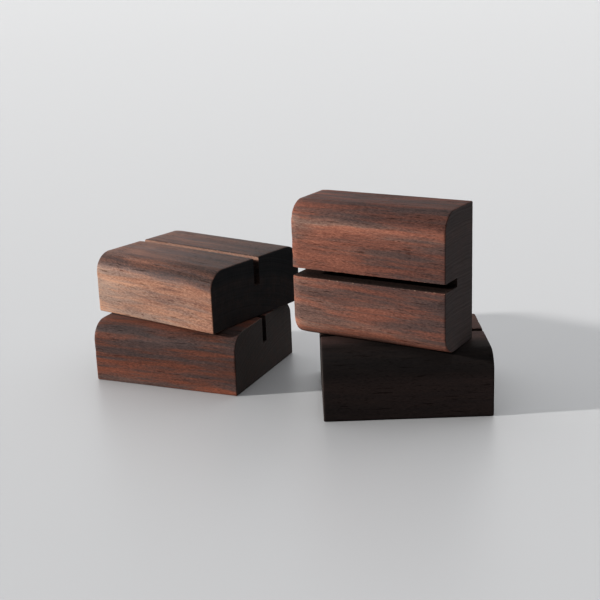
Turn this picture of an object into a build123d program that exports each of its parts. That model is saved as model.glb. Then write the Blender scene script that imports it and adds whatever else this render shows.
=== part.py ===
"""Four slotted hardwood rest blocks, stacked in two pairs.

Every block is one solid piece of wood: a low brick with its two long top edges rounded over and
one straight saw cut along the middle of its top.  The left pair stands upright, one block on the
other.  In the right pair the upper block lies on its long side, with its slot facing forward.

Millimetres, +Z up, +X to the right, front towards -Y.  The origin is the centre of the set's
footprint, on the surface it stands on.
"""
from build123d import *

import os

# ---- driving dimensions ---------------------------------------------------------------------
block_height = 31.5        # thickness of the board the blocks are cut from
round_over = 10.0          # radius of the two long top edges
slot_width = 4.2
lip_break = 0.25           # width of the broken edge along each lip of the slot
base_edge = 0.7            # radius of the two long bottom edges
end_edge = 0.6             # radius round each end face

# Each block is cut by hand, so its length, width and slot differ a little from its neighbours'.
left_lower = {"length": 81.6, "width": 70.0, "slot_offset": 0.0, "slot_depth": 13.9}
left_upper = {"length": 80.7, "width": 71.0, "slot_offset": 0.0, "slot_depth": 14.6}
right_lower = {"length": 79.6, "width": 69.5, "slot_offset": 0.0, "slot_depth": 13.3}
right_upper = {"length": 80.4, "width": 67.0, "slot_offset": -1.0, "slot_depth": 13.3}

# ---- how the blocks are set out -------------------------------------------------------------
# The right lower block is square to the frame, and the others are placed from it.
left_pair_shift = (-105.9, 50.8)      # from the right lower block's centre to the left lower's
left_upper_shift = (2.8, 8.4)         # from the left lower block's centre to the left upper's
right_upper_shift = (-10.0, -6.2)     # from the right lower block's centre to the right upper's
left_lower_turn = -23.3
left_upper_turn = -37.3
right_upper_turn = -31.0


def outline(width):
    """Cross-section of a block across its slot, standing on Y = 0, before the slot is cut."""
    face = Rectangle(width, block_height, align=(Align.CENTER, Align.MIN))
    corners = face.vertices().group_by(Axis.Y)
    face = fillet(corners[-1], round_over)
    corners = face.vertices().group_by(Axis.Y)
    return fillet(corners[0], base_edge)


def slot_cutter(length, offset, depth):
    """The saw cut: square-bottomed, with both lips broken, and longer than the block."""
    half = slot_width / 2
    floor = block_height - depth
    lip = half + lip_break
    section = Polyline(
        (offset - half, floor),
        (offset + half, floor),
        (offset + half, block_height - lip_break),
        (offset + lip, block_height),
        (offset + lip, block_height + 1),
        (offset - lip, block_height + 1),
        (offset - lip, block_height),
        (offset - half, block_height - lip_break),
        close=True,
    )
    return extrude(Plane.YZ * make_face(section), amount=length / 2 + 1, both=True)


def block(length, width, slot_offset, slot_depth):
    """One block: its slot runs along X, and the centre of its underside is at the origin."""
    solid = extrude(Plane.YZ * outline(width), amount=length / 2, both=True)
    ends = solid.faces().sort_by(Axis.X)
    solid = fillet(ends[0].edges() + ends[-1].edges(), end_edge)
    return solid - slot_cutter(length, slot_offset, slot_depth)


def on_its_side(solid, width):
    """Tip a block forward onto its long side, so that its slotted top faces -Y."""
    tipped = Rot(90, 0, 0) * solid
    return Pos(0, block_height / 2, width / 2) * tipped


def moved(solid, shift, turn=0.0, height=0.0):
    """Turn a block about Z, then set it down at a place."""
    return Pos(shift[0], shift[1], height) * Rot(0, 0, turn) * solid


def stack():
    """The four blocks by name, placed from the right lower block's centre."""
    upper_place = (left_pair_shift[0] + left_upper_shift[0], left_pair_shift[1] + left_upper_shift[1])
    tipped = on_its_side(block(**right_upper), right_upper["width"])
    return {
        "left_lower_block": moved(block(**left_lower), left_pair_shift, left_lower_turn),
        "left_upper_block": moved(block(**left_upper), upper_place, left_upper_turn, block_height),
        "right_lower_block": block(**right_lower),
        "right_upper_block": moved(tipped, right_upper_shift, right_upper_turn, block_height),
    }


def centred(blocks):
    """Move the whole set so that the centre of its footprint is at the origin."""
    middle = Compound(list(blocks.values())).bounding_box().center()
    return {name: Pos(-middle.X, -middle.Y, 0) * solid for name, solid in blocks.items()}


os.makedirs("parts", exist_ok=True)
placed = centred(stack())
for name, solid in placed.items():
    export_step(solid, f"parts/{name}.step")
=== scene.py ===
import math

import bmesh
import bpy
from mathutils import Matrix, Vector, noise


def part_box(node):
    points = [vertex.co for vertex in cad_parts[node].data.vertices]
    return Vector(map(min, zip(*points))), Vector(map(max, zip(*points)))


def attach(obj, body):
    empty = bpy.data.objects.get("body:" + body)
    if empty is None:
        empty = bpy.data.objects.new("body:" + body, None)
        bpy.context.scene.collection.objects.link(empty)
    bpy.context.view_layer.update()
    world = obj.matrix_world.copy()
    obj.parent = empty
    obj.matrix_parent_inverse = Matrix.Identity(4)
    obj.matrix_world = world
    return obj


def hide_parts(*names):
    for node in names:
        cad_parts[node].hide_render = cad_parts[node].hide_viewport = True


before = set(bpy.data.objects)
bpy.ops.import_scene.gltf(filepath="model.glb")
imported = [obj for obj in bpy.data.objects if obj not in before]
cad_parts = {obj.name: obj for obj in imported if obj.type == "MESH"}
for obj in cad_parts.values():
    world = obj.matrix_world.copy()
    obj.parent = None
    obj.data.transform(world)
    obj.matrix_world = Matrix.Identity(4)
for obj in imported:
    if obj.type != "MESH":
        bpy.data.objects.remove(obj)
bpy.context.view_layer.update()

MM = 0.001

# ---- the blocks -------------------------------------------------------------------------------
# A block's slot and grain run along its own X, Y is across the slot, and Z = 0 is its underside.
block_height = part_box("right_lower_block")[1].z
round_over = 10 * MM        # radius of the two long top edges
base_edge = 0.7 * MM        # radius of the two long bottom edges
slot_half = 2.1 * MM
lip_edge = 0.3 * MM         # radius of each lip of the slot
floor_corner = 0.2 * MM     # radius in the two corners of the slot's floor
end_edge = 0.6 * MM         # radius round each end face
chip_reach = 0.9 * MM       # how far from a lip its chips reach
lip_blend = 4 * MM          # how far down the slot's walls follow a worn or chipped lip
ease_reach = 5 * MM         # how far from an end the slotted face starts to be sanded away
ease_on_side = 0.4          # the share of it that also comes off the long side facing +Y
sanding = 0.05 * MM         # mean depth that sanding by hand takes off every face
chip_depth = 1.5 * MM       # how strongly the lips are chipped
nick_depth = 1.2 * MM       # how strongly the end faces' edges are nicked

step_across = 1.0 * MM      # mesh spacing round the outline
step_along = 0.8 * MM       # mesh spacing along the grain
end_steps = 5               # mesh steps round the edge of an end face
hair = 0.01 * MM


def arc(centre_y, centre_z, radius, start, end, steps):
    """Points with their outward normals on an arc; angles in degrees, from +Y towards +Z."""
    points = []
    for i in range(steps + 1):
        a = math.radians(start + (end - start) * i / steps)
        normal = (math.cos(a), math.sin(a))
        points.append((centre_y + radius * normal[0], centre_z + radius * normal[1], *normal))
    return points


def hollow_arc(centre_y, centre_z, radius, start, end, steps):
    """The same on an inside corner, where the surface faces the arc's centre."""
    return [(y, z, -ny, -nz) for y, z, ny, nz in arc(centre_y, centre_z, radius, start, end, steps)]


def joined(runs):
    """One closed outline: the runs in order, with evenly spaced points on the straights between."""
    outline = []
    for i, run in enumerate(runs):
        outline.extend(run)
        y0, z0 = run[-1][:2]
        y1, z1, ny, nz = runs[(i + 1) % len(runs)][0]
        pieces = max(1, round(math.hypot(y1 - y0, z1 - z0) / step_across))
        for k in range(1, pieces):
            t = k / pieces
            outline.append((y0 + (y1 - y0) * t, z0 + (z1 - z0) * t, ny, nz))
    return outline


def block_outline(width, slot_offset, slot_depth):
    """The outline across the grain, anticlockwise seen from +X, as (y, z, normal y, normal z)."""
    half, top = width / 2, block_height
    left, right = slot_offset - slot_half, slot_offset + slot_half
    floor = top - slot_depth
    return joined([
        arc(half - base_edge, base_edge, base_edge, -90, 0, 4),
        arc(half - round_over, top - round_over, round_over, 0, 90, 16),
        arc(right + lip_edge, top - lip_edge, lip_edge, 90, 180, 4),
        hollow_arc(right - floor_corner, floor + floor_corner, floor_corner, 0, -90, 2),
        hollow_arc(left + floor_corner, floor + floor_corner, floor_corner, -90, -180, 2),
        arc(left - lip_edge, top - lip_edge, lip_edge, 0, 90, 4),
        arc(-half + round_over, top - round_over, round_over, 90, 180, 16),
        arc(-half + base_edge, base_edge, base_edge, 180, 270, 4),
    ])


def stations(length):
    """Places along the grain as (x, inset), where inset is how far the outline is drawn in."""
    half = length / 2
    inner = half - end_edge
    count = round(2 * inner / step_along)
    xs = [(-inner + 2 * inner * i / count, 0.0) for i in range(count + 1)]
    rounding = []
    for i in range(1, end_steps + 1):
        a = math.radians(90 * i / end_steps)
        rounding.append((inner + end_edge * math.sin(a), end_edge * (1 - math.cos(a))))
    return [(-x, inset) for x, inset in reversed(rounding)] + xs + rounding


def softened(x, length, ease):
    """How far sanding has worn the slotted face near an end; ease is its depth at each end."""
    to_end = length / 2 - abs(x)
    t = max(0.0, 1 - to_end / ease_reach)
    return ease[1 if x > 0 else 0] * t * t


def hand_worked(x, y, z, seed):
    """Depth of the slight hollows that sanding by hand leaves; the scales are per metre."""
    broad = noise.noise(Vector((x * 28, y * 45, z * 45)) + Vector((seed, 0, 0)))
    fine = noise.noise(Vector((x * 90, y * 190, z * 190)) + Vector((0, seed, 0)))
    return sanding * (1 + broad + 0.3 * fine)


def chip(x, seed):
    """Depth of small chips along a lip of the slot: mostly none, with a few short bites."""
    bite = noise.noise(Vector((x * 420, seed * 3.1, 0.5)))
    patch = noise.noise(Vector((x * 60, seed * 1.7, 4.5)))
    return max(0.0, bite - 0.28) * max(0.0, patch + 0.35) * chip_depth


def end_nick(x, y, z, length, seed):
    """Depth of the small nicks that a saw tears in the edges of an end face."""
    nearness = max(0.0, 1 - (length / 2 - abs(x)) / end_edge)
    which_end = 5 if x > 0 else 0
    tear = noise.noise(Vector((y * 300, z * 300, seed * 2.3 + which_end)))
    patch = noise.noise(Vector((y * 40, z * 40, seed + 9)))
    return max(0.0, tear - 0.2) * max(0.0, patch + 0.4) * nearness * nick_depth


def inside_slot(y, z, slot_offset, below=1.2):
    """True on the slot's walls and floor, from so many lip radii below the top."""
    between_walls = abs(y - slot_offset) < slot_half + hair
    return between_walls and base_edge < z < block_height - below * lip_edge


def near_lip(y, z, slot_offset):
    """Distance across the grain to the nearer lip of the slot."""
    return math.hypot(abs(y - slot_offset) - slot_half, z - block_height)


def block_mesh(name, length, width, slot_offset, slot_depth, ease, seed):
    """A block in its own space, with its own coordinates kept on every point as grain_at."""
    outline = block_outline(width, slot_offset, slot_depth)
    bm = bmesh.new()
    sawn = bm.faces.layers.float.new("sawn")
    lip = bm.faces.layers.float.new("lip")
    end_face = bm.faces.layers.float.new("end_face")

    def worn(x, inset, y, z, ny, nz):
        """Depth of wear at a point on the outside, and whether it is at a lip of the slot."""
        depth = inset + hand_worked(x, y, z, seed) + end_nick(x, y, z, length, seed)
        from_lip = near_lip(y, z, slot_offset)
        if from_lip > chip_reach:
            facing = max(0.0, nz) + ease_on_side * max(0.0, ny)
            return depth + softened(x, length, ease) * facing, False
        side = 1 if y > slot_offset else 2
        bite = chip(x, seed + side) * (1 - from_lip / chip_reach)
        return depth + softened(x, length, ease) + bite, True

    def surface(x, inset, y, z, ny, nz):
        """Where a point of the true outline ends up."""
        if inside_slot(y, z, slot_offset):
            lip_y = slot_offset + math.copysign(slot_half, y - slot_offset)
            lip_z = block_height - lip_edge
            lip_depth = worn(x, inset, lip_y, lip_z, 0.0, 0.0)[0]
            down = lip_depth * max(0.0, 1 - (lip_z - z) / lip_blend)
            across = hand_worked(x, y, z, seed) / 3
            return (x, y - ny * across, z - nz * across - down)
        depth, at_lip = worn(x, inset, y, z, ny, nz)
        if at_lip:
            return (x, y, z - depth)
        # The underside stays nearly flat.
        sink = min(depth, inset + sanding) if z < base_edge else depth
        return (x, y - ny * depth, z - nz * sink)

    places = stations(length)
    rings = [[bm.verts.new(surface(x, inset, *point)) for point in outline] for x, inset in places]
    end_grain_from = length / 2 - 0.2 * end_edge
    count = len(outline)
    for k, (a, b) in enumerate(zip(rings, rings[1:])):
        steep = min(abs(places[k][0]), abs(places[k + 1][0])) > end_grain_from
        for i in range(count):
            j = (i + 1) % count
            side = bm.faces.new((a[i], b[i], b[j], a[j]))
            side.smooth = True
            side[end_face] = 1.0 if steep else 0.0
            edge = (outline[i][:2], outline[j][:2])
            if all(inside_slot(*point, slot_offset, below=0.9) for point in edge):
                side[sawn] = 1.0
            elif all(near_lip(*point, slot_offset) < lip_edge * 1.2 for point in edge):
                side[lip] = 1.0
    for ring in (rings[0], list(reversed(rings[-1]))):
        end = bm.faces.new(ring)
        end[end_face] = 1.0
    # Filling the ends goes wrong on edges this short in metres, so it is done in millimetres.
    bmesh.ops.scale(bm, vec=(1000, 1000, 1000), verts=bm.verts)
    bmesh.ops.triangulate(bm, faces=[f for f in bm.faces if len(f.verts) > 4])
    bmesh.ops.scale(bm, vec=(MM, MM, MM), verts=bm.verts)
    bmesh.ops.recalc_face_normals(bm, faces=bm.faces)
    mesh = bpy.data.meshes.new(name)
    bm.to_mesh(mesh)
    bm.free()
    return mesh


def keep_place(mesh):
    """Keep each point's place in its own block, which the grain follows wherever the block lies."""
    grain_at = mesh.attributes.new("grain_at", "FLOAT_VECTOR", "POINT")
    grain_at.data.foreach_set("vector", [c for v in mesh.vertices for c in v.co])


def placed(node, turn, on_side, width):
    """The matrix that takes a block from its own space to where its CAD node stands."""
    low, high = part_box(node)
    centre = (low + high) / 2
    spin = Matrix.Translation((centre.x, centre.y, low.z)) @ Matrix.Rotation(math.radians(turn), 4, "Z")
    if not on_side:
        return spin
    tip = Matrix.Translation((0, block_height / 2, width / 2)) @ Matrix.Rotation(math.radians(90), 4, "X")
    return spin @ tip


# ---- the wood ---------------------------------------------------------------------------------
class Nodes:
    """Small helper that adds shader nodes and links them."""

    def __init__(self, material):
        material.use_nodes = True
        self.tree = material.node_tree
        self.tree.nodes.clear()

    def add(self, kind, inputs=None, **settings):
        node = self.tree.nodes.new(kind)
        for key, value in settings.items():
            setattr(node, key, value)
        for key, value in (inputs or {}).items():
            self.plug(value, node.inputs[key])
        return node

    def plug(self, value, socket):
        if isinstance(value, bpy.types.NodeSocket):
            self.tree.links.new(value, socket)
        else:
            socket.default_value = value

    def math(self, operation, a, b=0.0, c=0.0):
        node = self.add("ShaderNodeMath", operation=operation)
        for socket, value in zip(node.inputs, (a, b, c)):
            self.plug(value, socket)
        return node.outputs[0]

    def combine(self, x, y, z):
        node = self.add("ShaderNodeCombineXYZ")
        for socket, value in zip(node.inputs, (x, y, z)):
            self.plug(value, socket)
        return node.outputs[0]

    def noise(self, at, detail=2.0, rough=0.5):
        node = self.add("ShaderNodeTexNoise", {
            "Vector": at, "Scale": 1.0, "Detail": detail, "Roughness": rough,
        })
        return node.outputs["Fac"]

    def ranged(self, value, low, high, to_low=0.0, to_high=1.0):
        node = self.add("ShaderNodeMapRange", {
            "Value": value, "From Min": low, "From Max": high, "To Min": to_low, "To Max": to_high,
        }, interpolation_type="SMOOTHSTEP")
        return node.outputs["Result"]

    def mix(self, factor, a, b, blend="MIX"):
        node = self.add("ShaderNodeMix", data_type="RGBA", blend_type=blend)
        self.plug(factor, node.inputs["Factor"])
        for socket, value in ((node.inputs[6], a), (node.inputs[7], b)):
            self.plug((*value, 1.0) if isinstance(value, tuple) and len(value) == 3 else value, socket)
        return node.outputs[2]

    def profile(self, value, stops):
        """A smooth curve through (value, result) pairs."""
        first, last = stops[0][0], stops[-1][0]
        place = self.math("DIVIDE", self.math("SUBTRACT", value, first), last - first)
        return self.ramp(place, [((at - first) / (last - first), (v, v, v)) for at, v in stops], "EASE")

    def ramp(self, value, stops, interpolation="LINEAR"):
        node = self.add("ShaderNodeValToRGB")
        self.plug(value, node.inputs[0])
        node.color_ramp.interpolation = interpolation
        elements = node.color_ramp.elements
        while len(elements) < len(stops):
            elements.new(0.5)
        for element, (place, colour) in zip(elements, stops):
            element.position = place
            element.color = (*colour, 1.0)
        return node.outputs[0]


# The wood's colour at each tone.
tones = [
    (0.0, (0.0125, 0.0113, 0.0111)),
    (0.15, (0.034, 0.0255, 0.0235)),
    (0.35, (0.090, 0.056, 0.050)),
    (0.5, (0.158, 0.089, 0.072)),
    (0.6, (0.225, 0.127, 0.099)),
    (0.72, (0.315, 0.198, 0.152)),
    (1.0, (0.50, 0.325, 0.245)),
]
bare_wood = tones[-1][1]
pore_colour = (0.36, 0.30, 0.28)    # what a pore or crack leaves of the colour round it
greyish = (0.84, 0.94, 1.0)         # how the wood's colour shifts where it is cool

# How much each kind of figure changes the tone.
patch_change = 0.40
ring_change = 0.21
streak_change = 0.22
fibre_change = 0.64
raw_change = 0.6            # of the fibres in the slot

wander_width = 4.0          # millimetres that the grain may drift from side to side
warm_turn = 0.14            # figure at which the colour is wholly warm, or wholly cool below zero

# How far each of these covers the plain wood's colour.
hollow_cover = 0.75
end_cover = 0.92
raw_cover = 0.9
fray_cover = 0.45

# Pores: how many there are per millimetre along the grain and across it.
pores_along = 0.26
pores_across = 2.4

# The slot's walls turn from painted shade, darkest deeper down, to the raw wood's tone between these
# heights, in millimetres.
slot_shade_below = 27.5
raw_above = 30.0
slot_shade_tone = 0.1

# Roughness of the sanded wood, from the fibres' darker side to their lighter one, and what is added.
sanded_dark, sanded_light = 0.40, 0.52
hollow_rough = 0.2
cut_rough = 0.25

bump_depth = 0.12 * MM
# Shares of it:
hollow_depth = 0.6
fibre_depth = 0.5
saw_depth = 1.2
scratch_depth = 1.2


def wood(name, seed, pith, slope, layers, slot_tone, end_colour, liveliness, fade, warm_colour, sheen):
    """Straight-grained, dark, oiled hardwood, solid right through.

    Tones run from 0, nearly black, to 1, pale orange-brown.  pith is the growth rings' centre
    (y, z) in millimetres, and slope is how far the grain drifts across the block per millimetre
    along it.  layers are (millimetres outward from the block's middle, tone) from ring to ring;
    where they make the tops and round-overs darker than the fronts the tone is partly painted
    shade, and the dark band on the right lower block's round-over is painted shade.  slot_tone is
    the tone of the raw wood near the top of the slot, liveliness scales how much tones vary, fade
    is how much lighter the wood gets per millimetre along the grain, warm_colour is how its colour
    shifts where it is warm, and sheen is the strength of its gloss.
    """
    material = bpy.data.materials.new(name)
    n = Nodes(material)
    at = n.add("ShaderNodeAttribute", attribute_name="grain_at").outputs["Vector"]
    millimetres = n.add("ShaderNodeVectorMath", {0: at, 1: (1000, 1000, 1000)}, operation="MULTIPLY")
    x, y, z = n.add("ShaderNodeSeparateXYZ", {0: millimetres.outputs[0]}).outputs

    # The grain's slow wander shifts everything below in the same way.
    wander_at = n.combine(n.math("MULTIPLY_ADD", x, 0.02, seed), n.math("MULTIPLY", y, 0.03),
                          n.math("MULTIPLY", z, 0.03))
    wander = n.math("MULTIPLY", n.math("SUBTRACT", n.noise(wander_at), 0.5), wander_width)
    shift = n.math("MULTIPLY_ADD", x, slope, wander)
    y_grain = n.math("ADD", y, shift)
    z_grain = n.math("ADD", z, shift)

    # Growth rings round the pith.
    from_y = n.math("SUBTRACT", y_grain, pith[0])
    from_z = n.math("SUBTRACT", z_grain, pith[1])
    squares = n.math("ADD", n.math("MULTIPLY", from_y, from_y), n.math("MULTIPLY", from_z, from_z))
    ring = n.math("SQRT", squares)

    def along(lengthwise, across, offset=0.0, detail=2.0, rough=0.5):
        """Noise about zero, drawn out along the grain; the two scales are per millimetre."""
        spot = n.combine(n.math("MULTIPLY_ADD", x, lengthwise, seed + offset),
                         n.math("MULTIPLY", y_grain, across), n.math("MULTIPLY", z_grain, across))
        return n.math("SUBTRACT", n.noise(spot, detail, rough), 0.5)

    def rings(lengthwise, outward, offset=0.0, detail=2.0, rough=0.5):
        """Noise about zero that changes mostly from ring to ring."""
        outward_at = n.math("MULTIPLY_ADD", ring, outward, seed)
        spot = n.combine(n.math("MULTIPLY", x, lengthwise), outward_at, offset)
        return n.math("SUBTRACT", n.noise(spot, detail, rough), 0.5)

    # Tone: the layers, partly painted shade, then lines from ring to ring, long thin streaks and fine
    # fibres.
    half_height = block_height / MM / 2
    middle = math.hypot(pith[0], half_height - pith[1])
    patch = along(0.025, 0.18, offset=40.0)
    ring_line = rings(0.010, 0.6, offset=3.7, detail=3.0, rough=0.6)
    streak = along(0.05, 0.8, offset=5.0, detail=3.0, rough=0.55)
    fibre = along(0.62, 2.3, offset=17.0, detail=2.5, rough=0.72)
    tone = n.math("MULTIPLY_ADD", x, fade, n.profile(n.math("SUBTRACT", ring, middle), layers))
    figure = n.math("MULTIPLY", patch, patch_change)
    figure = n.math("MULTIPLY_ADD", ring_line, ring_change, figure)
    figure = n.math("MULTIPLY_ADD", streak, streak_change, figure)
    figure = n.math("MULTIPLY", figure, n.ranged(tone, 0.1, 0.7, 0.6, 1.0))
    change = n.math("MULTIPLY_ADD", fibre, fibre_change, figure)
    tone = n.math("MULTIPLY_ADD", change, liveliness, tone)
    colour = n.ramp(tone, tones)

    # Long soft patches turn from greyish to reddish brown, and the lighter streaks are the redder.
    warm_patch = along(0.02, 0.28, offset=11.0, detail=3.0, rough=0.6)
    warm = n.ranged(n.math("MULTIPLY_ADD", figure, 1.1, warm_patch), -warm_turn, warm_turn)
    colour = n.mix(1.0, colour, n.mix(warm, greyish, warm_colour), "MULTIPLY")

    # A few long thin dark lines, and the open pores: short dashes, or dots on the end grain.
    crack = n.ranged(along(0.09, 1.3, offset=31.0, detail=1.0), 0.16, 0.24)
    pore_at = n.combine(n.math("MULTIPLY_ADD", x, pores_along, seed),
                        n.math("MULTIPLY", y_grain, pores_across),
                        n.math("MULTIPLY", z_grain, pores_across))
    cells = n.add("ShaderNodeTexVoronoi", {"Vector": pore_at, "Scale": 1.0, "Randomness": 1.0})
    crowd = n.ranged(rings(0.03, 0.35, offset=21.0), -0.12, 0.10, 0.25, 1.0)
    pore = n.math("MULTIPLY", n.ranged(cells.outputs["Distance"], 0.32, 0.12), crowd)
    hollow = n.math("MAXIMUM", pore, crack)
    colour = n.mix(n.math("MULTIPLY", hollow, hollow_cover), colour, pore_colour, "MULTIPLY")

    # End grain drinks more oil, so it is darker and duller, with faint rings and saw scratches.
    end_face = n.add("ShaderNodeAttribute", attribute_name="end_face").outputs["Fac"]
    scratch_at = n.combine(seed, n.math("MULTIPLY", y, 2.2), n.math("MULTIPLY", z, 0.12))
    scratches = n.noise(scratch_at, detail=3.0, rough=0.7)
    end_rings = rings(0.0, 1.1, offset=9.0, detail=3.0, rough=0.7)
    end_shade = n.math("MULTIPLY_ADD", scratches, 0.6, n.math("MULTIPLY_ADD", end_rings, 1.3, 0.7))
    end_grain = n.mix(1.0, end_colour, n.combine(end_shade, end_shade, end_shade), "MULTIPLY")
    colour = n.mix(n.math("MULTIPLY", end_face, end_cover), colour, end_grain)

    # The slot is raw wood, rough with fine cross marks from the blade, with painted shade darkening it
    # deeper down.
    sawn = n.add("ShaderNodeAttribute", attribute_name="sawn").outputs["Fac"]
    # Deeper down the slot's walls get a painted shade, darkest towards the floor.
    raw_tone_and_shade = n.ranged(z, slot_shade_below, raw_above, slot_shade_tone, slot_tone)
    raw_wood_and_shade = n.ramp(n.math("MULTIPLY_ADD", fibre, raw_change, raw_tone_and_shade), tones)
    colour = n.mix(n.math("MULTIPLY", sawn, raw_cover), colour, raw_wood_and_shade)

    # Here and there the lips are frayed to the bare wood.
    lip = n.add("ShaderNodeAttribute", attribute_name="lip").outputs["Fac"]
    fray_at = n.combine(n.math("MULTIPLY", x, 0.7), n.math("MULTIPLY", y, 1.2),
                        n.math("MULTIPLY_ADD", z, 1.2, seed))
    frayed = n.math("MULTIPLY", n.ranged(n.noise(fray_at), 0.58, 0.66), lip)
    colour = n.mix(n.math("MULTIPLY", frayed, fray_cover), colour, bare_wood)

    # Satin oil on the sanded faces, duller in the pores and on the sawn faces.
    sanded = n.ranged(fibre, -0.2, 0.2, sanded_dark, sanded_light)
    cut = n.math("MAXIMUM", sawn, end_face)
    roughness = n.math("MULTIPLY_ADD", hollow, hollow_rough, sanded)
    roughness = n.math("MULTIPLY_ADD", cut, cut_rough, roughness)

    saw_at = n.combine(n.math("MULTIPLY", x, 1.4), n.math("MULTIPLY", y, 0.5), n.math("MULTIPLY", z, 0.5))
    saw_marks = n.math("MULTIPLY", n.noise(saw_at, detail=3.0, rough=0.7), sawn)
    height = n.math("MULTIPLY_ADD", hollow, -hollow_depth, n.math("MULTIPLY", fibre, fibre_depth))
    height = n.math("MULTIPLY_ADD", saw_marks, saw_depth, height)
    height = n.math("MULTIPLY_ADD", n.math("MULTIPLY", scratches, end_face), scratch_depth, height)
    bump = n.add("ShaderNodeBump", {"Strength": 0.75, "Distance": bump_depth, "Height": height})

    shader = n.add("ShaderNodeBsdfPrincipled", {
        "Base Color": colour, "Roughness": roughness, "Normal": bump.outputs[0],
        "Specular IOR Level": sheen, "IOR": 1.5,
    })
    out = n.add("ShaderNodeOutputMaterial")
    n.plug(shader.outputs[0], out.inputs[0])
    return material


def make_block(name, length, width, turn, slot_depth, ease, seed, slot_offset=0.0, on_side=False, **look):
    """One detailed block in place of its CAD node, riding on its body.

    turn is in degrees about Z, and ease is how deep the slotted face is sanded away at each end.
    """
    node = name + "_block"
    mesh = block_mesh(name + "_wood_block", length, width, slot_offset, slot_depth, ease, seed)
    keep_place(mesh)
    mesh.transform(placed(node, turn, on_side, width))
    mesh.materials.append(wood(name + "_wood", seed, **look))
    piece = bpy.data.objects.new(name + "_wood_block", mesh)
    bpy.context.scene.collection.objects.link(piece)
    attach(piece, name)
    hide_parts(node)


make_block(
    "left_lower", 81.6 * MM, 70 * MM, -23.3, slot_depth=13.9 * MM, ease=(0.2 * MM, 0.1 * MM), seed=3.1,
    pith=(30, -90), slope=0.0, liveliness=0.75, fade=-0.0005, sheen=0.08, slot_tone=0.25,
    end_colour=(0.063, 0.0555, 0.053), warm_colour=(1.36, 0.90, 0.71),
    # The darker tones from 8 mm out, on the round-over and the top, are partly painted shade.
    layers=[(-22, 0.50), (-8, 0.50), (2, 0.445), (8, 0.355), (14, 0.355), (30, 0.3)],
)
make_block(
    "left_upper", 80.7 * MM, 71 * MM, -37.3, slot_depth=14.6 * MM, ease=(0.25 * MM, 0.1 * MM), seed=7.4,
    pith=(-20, -90), slope=0.03, liveliness=0.93, fade=-0.0025, sheen=0.035, slot_tone=0.7,
    end_colour=(0.024, 0.0265, 0.029), warm_colour=(1.09, 0.98, 0.89),
    # The darker tones from 9.8 mm out, on the round-over and the top, are partly painted shade.
    layers=[(-18, 0.75), (-10, 0.70), (0, 0.68), (6.5, 0.68), (9.8, 0.37), (11.6, 0.31), (12.7, 0.43),
            (14, 0.335), (22, 0.33)],
)
make_block(
    "right_lower", 79.6 * MM, 69.5 * MM, 0, slot_depth=13.3 * MM, ease=(0.1 * MM, 0.1 * MM), seed=12.9,
    pith=(-60, -200), slope=0.01, liveliness=0.21, fade=0.0004, sheen=0.005, slot_tone=0.15,
    end_colour=(0.043, 0.038, 0.036), warm_colour=(0.93, 1.0, 1.03),
    # The dark band from 5 to 10.5 mm out is painted shade on the round-over.
    layers=[(-22, 0.19), (-5, 0.20), (5, 0.09), (10.5, 0.10), (13.5, 0.32), (22, 0.40)],
)
make_block(
    "right_upper", 80.4 * MM, 67 * MM, -31, slot_depth=13.3 * MM, ease=(1.0 * MM, 0.1 * MM), seed=21.6,
    slot_offset=-1 * MM, on_side=True,
    pith=(-150, 16), slope=0.03, liveliness=0.76, fade=-0.0019, sheen=0.008, slot_tone=0.16,
    end_colour=(0.086, 0.075, 0.074), warm_colour=(1.21, 0.945, 0.86),
    # The darker tones from 29.5 mm out, at the top, are partly painted shade.
    layers=[(-33, 0.53), (-27, 0.59), (-21, 0.485), (0, 0.43), (16, 0.445), (24.5, 0.59),
            (29.5, 0.345), (33, 0.325), (35, 0.335)],
)


# ---- floor, light and camera ------------------------------------------------------------------
floor_reach = 30.0                      # metres each way
floor_colour = (0.42, 0.427, 0.44, 1)
backdrop = 0.72                         # strength of the sky where the camera sees it
key_strength = 4.2
key_width = 3.0                         # degrees across, which softens the shadows' edges
key_colour = (1.0, 0.97, 0.93)
key_heading = 4.65                      # degrees from +X towards +Y, the way the light travels
key_height = 17                         # degrees above the floor
camera_place = (0.01305, -0.5740, 0.2090)
camera_turn, camera_down, camera_roll = 0.37, 16.48, -2.19
camera_lens, camera_sensor = 69.5, 36   # millimetres


def make_floor():
    """The plain pale table top."""
    mesh = bpy.data.meshes.new("floor")
    corners = [(x * floor_reach, y * floor_reach, 0) for x, y in ((-1, -1), (1, -1), (1, 1), (-1, 1))]
    mesh.from_pydata(corners, [], [(0, 1, 2, 3)])
    material = bpy.data.materials.new("pale_table")
    n = Nodes(material)
    shader = n.add("ShaderNodeBsdfPrincipled", {
        "Base Color": floor_colour, "Roughness": 0.4, "Specular IOR Level": 0.5,
    })
    out = n.add("ShaderNodeOutputMaterial")
    n.plug(shader.outputs[0], out.inputs[0])
    mesh.materials.append(material)
    floor = bpy.data.objects.new("floor", mesh)
    bpy.context.scene.collection.objects.link(floor)


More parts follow.
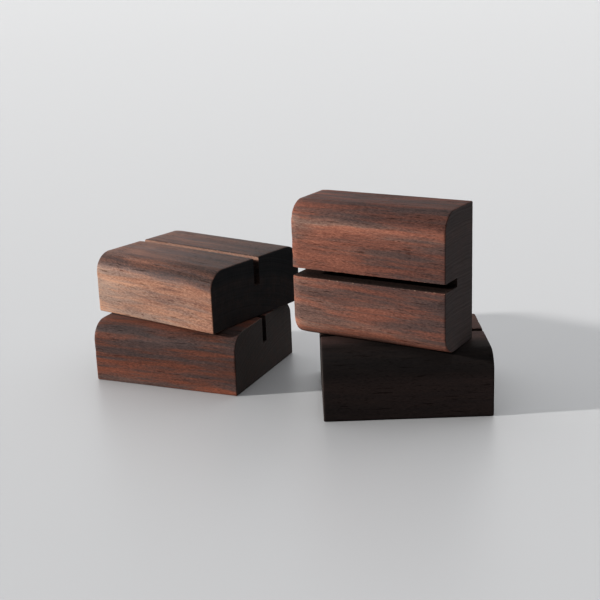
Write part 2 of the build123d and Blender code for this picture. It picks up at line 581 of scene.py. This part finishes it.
def make_sky():
    """Soft light from above and behind, little from the front and the right, and a pale backdrop."""
    world = bpy.data.worlds.new("studio")
    bpy.context.scene.world = world
    world.use_nodes = True
    n = Nodes(world)
    way = n.add("ShaderNodeTexCoord").outputs["Generated"]
    x, y, z = n.add("ShaderNodeSeparateXYZ", {0: way}).outputs
    back = n.math("MULTIPLY", n.ranged(y, -0.1, 0.5, 0.02, 1.0), n.ranged(z, 0.05, 0.35, 1.5, 0.85))
    up = n.ranged(z, 0.45, 0.95, 0.0, 0.8)
    left = n.ranged(x, -0.3, -0.9, 0.0, 0.15)
    glow = n.math("ADD", n.math("ADD", back, up), left)
    seen = n.add("ShaderNodeLightPath").outputs["Is Camera Ray"]
    unseen_glow = n.math("MULTIPLY", n.math("SUBTRACT", 1.0, seen), glow)
    strength = n.math("MULTIPLY_ADD", seen, backdrop, unseen_glow)
    shader = n.add("ShaderNodeBackground", {"Color": (1.0, 1.0, 1.0, 1), "Strength": strength})
    out = n.add("ShaderNodeOutputWorld")
    n.plug(shader.outputs[0], out.inputs[0])


def make_key():
    """The low key light from the left, a little in front."""
    lamp = bpy.data.lights.new("key", "SUN")
    lamp.energy = key_strength
    lamp.angle = math.radians(key_width)
    lamp.color = key_colour
    key = bpy.data.objects.new("key", lamp)
    bpy.context.scene.collection.objects.link(key)
    heading, height = math.radians(key_heading), math.radians(key_height)
    level = math.cos(height)
    travel = Vector((level * math.cos(heading), level * math.sin(heading), -math.sin(height)))
    key.rotation_mode = "QUATERNION"
    key.rotation_quaternion = travel.to_track_quat("-Z", "Y")


def make_camera():
    """The camera in front of the blocks, looking slightly down on them."""
    data = bpy.data.cameras.new("camera")
    data.sensor_width = camera_sensor
    data.lens = camera_lens
    data.clip_start = 0.01
    camera = bpy.data.objects.new("camera", data)
    bpy.context.scene.collection.objects.link(camera)
    turn = Matrix.Rotation(math.radians(camera_turn), 4, "Z")
    pitch = Matrix.Rotation(math.radians(90 - camera_down), 4, "X")
    roll = Matrix.Rotation(math.radians(camera_roll), 4, "Z")
    camera.matrix_world = Matrix.Translation(camera_place) @ turn @ pitch @ roll
    bpy.context.scene.camera = camera


make_floor()
make_sky()
make_key()
make_camera()
bpy.context.scene.view_settings.view_transform = "Standard"
bpy.context.scene.view_settings.look = "Medium High Contrast"
